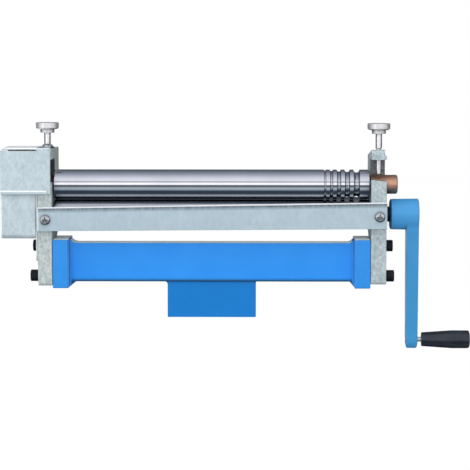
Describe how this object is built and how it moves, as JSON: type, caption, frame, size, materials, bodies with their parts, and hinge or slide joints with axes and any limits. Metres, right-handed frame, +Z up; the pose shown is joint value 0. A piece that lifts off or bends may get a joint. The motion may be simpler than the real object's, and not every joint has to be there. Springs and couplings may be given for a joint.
{
  "type": "slip roll machine",
  "caption": "Vise-held hand slip roll: geared pinch rolls with wire grooves, adjustable rear roll, lift-out top roll, guard bar, gear cover and crank with turning grip.",
  "frame": {"origin": "centre of the vise tang's bottom face", "axes": "+X along the rolls towards the crank, +Y away from the operator towards the rear roll, +Z up"},
  "size_m": [0.4798, 0.0928, 0.232],
  "materials": {
    "blue_paint": "semi-gloss enamel on a casting",
    "cast_zinc": "zinc-plated casting, mottled satin",
    "galvanised": "galvanised flat bar, satin",
    "polished_steel": "ground and polished",
    "bright_steel": "turned and zinc plated",
    "black_steel": "black oxide",
    "bronze": "turned bearing bronze",
    "black_plastic": "moulded, satin"
  },
  "bodies": {
    "root": {"base_beam": "blue_paint", "left_frame": "cast_zinc", "right_frame": "cast_zinc", "frame_screw_left_lower": "black_steel", "frame_screw_left_upper": "black_steel", "frame_screw_right_lower": "black_steel", "frame_screw_right_upper": "black_steel", "guard_bar": "galvanised", "guard_bar_screw_left": "bright_steel", "guard_bar_screw_right": "bright_steel", "gear_cover": "cast_zinc", "cover_back_plate": "galvanised", "cover_screw_upper": "bright_steel", "cover_screw_lower": "bright_steel", "jam_nut": "bright_steel", "lower_left_bush": "bronze", "lower_right_bush": "bronze"},
    "crank": {"lower_roll": "polished_steel", "lower_gear": "bright_steel", "lower_gear_washer": "bright_steel", "lower_gear_screw": "black_steel", "shaft_collar": "black_steel", "crank_arm": "blue_paint", "crank_set_screw": "black_steel", "grip_pin": "bright_steel"},
    "grip": {"grip": "black_plastic"},
    "top_bearings": {"top_left_bush": "bronze", "release_bush": "bronze"},
    "top_roll": {"top_roll": "polished_steel", "upper_gear": "bright_steel", "upper_gear_washer": "bright_steel", "upper_gear_screw": "black_steel"},
    "left_pressure": {"left_pressure_screw": "bright_steel", "left_pressure_knob": "bright_steel"},
    "right_pressure": {"right_pressure_screw": "bright_steel", "right_pressure_knob": "bright_steel"},
    "rear_bearings": {"rear_left_block": "bronze", "rear_right_block": "bronze"},
    "rear_roll": {"rear_roll": "polished_steel"},
    "rear_left_adjuster": {"rear_left_screw": "bright_steel", "rear_left_knob": "bright_steel"},
    "rear_right_adjuster": {"rear_right_screw": "bright_steel", "rear_right_knob": "bright_steel"}
  },
  "joints": [
    {"name": "crank_turn", "type": "hinge", "parent": "root", "child": "crank", "pos_m": [0, 0, 0.1049], "axis": [1, 0, 0], "continuous": true},
    {"name": "grip_spin", "type": "hinge", "parent": "crank", "child": "grip", "pos_m": [0.239, 0, -0.0236], "axis": [1, 0, 0], "continuous": true},
    {"name": "top_roll_lift", "type": "slide", "parent": "root", "child": "top_bearings", "axis": [0, 0, 1], "range_m": [0, 0.0153]},
    {"name": "top_roll_spin", "type": "hinge", "parent": "top_bearings", "child": "top_roll", "pos_m": [0, 0, 0.1353], "axis": [1, 0, 0], "continuous": true},
    {"name": "left_pressure_turn", "type": "hinge", "parent": "top_bearings", "child": "left_pressure", "pos_m": [-0.16725, 0, 0.17], "axis": [0, 0, 1], "range_deg": [0, 4407]},
    {"name": "right_pressure_turn", "type": "hinge", "parent": "top_bearings", "child": "right_pressure", "pos_m": [0.1696, 0, 0.17], "axis": [0, 0, 1], "range_deg": [0, 4407]},
    {"name": "rear_roll_shift", "type": "slide", "parent": "root", "child": "rear_bearings", "axis": [0, -0.342, 0.9397], "range_m": [0, 0.016]},
    {"name": "rear_roll_spin", "type": "hinge", "parent": "rear_bearings", "child": "rear_roll", "pos_m": [0, 0.03397, 0.10506], "axis": [1, 0, 0], "continuous": true},
    {"name": "rear_left_turn", "type": "hinge", "parent": "rear_bearings", "child": "rear_left_adjuster", "pos_m": [-0.16725, 0.03397, 0.10506], "axis": [0, -0.342, 0.9397], "range_deg": [0, 4609]},
    {"name": "rear_right_turn", "type": "hinge", "parent": "rear_bearings", "child": "rear_right_adjuster", "pos_m": [0.1696, 0.03397, 0.10506], "axis": [0, -0.342, 0.9397], "range_deg": [0, 4609]}
  ],
  "couplings": [
    {"joint": "top_roll_spin", "follows": "crank_turn", "ratio": -1},
    {"joint": "left_pressure_turn", "follows": "top_roll_lift", "rad_per_m": 5026.5},
    {"joint": "right_pressure_turn", "follows": "top_roll_lift", "rad_per_m": 5026.5},
    {"joint": "rear_left_turn", "follows": "rear_roll_shift", "rad_per_m": 5026.5},
    {"joint": "rear_right_turn", "follows": "rear_roll_shift", "rad_per_m": 5026.5}
  ]
}
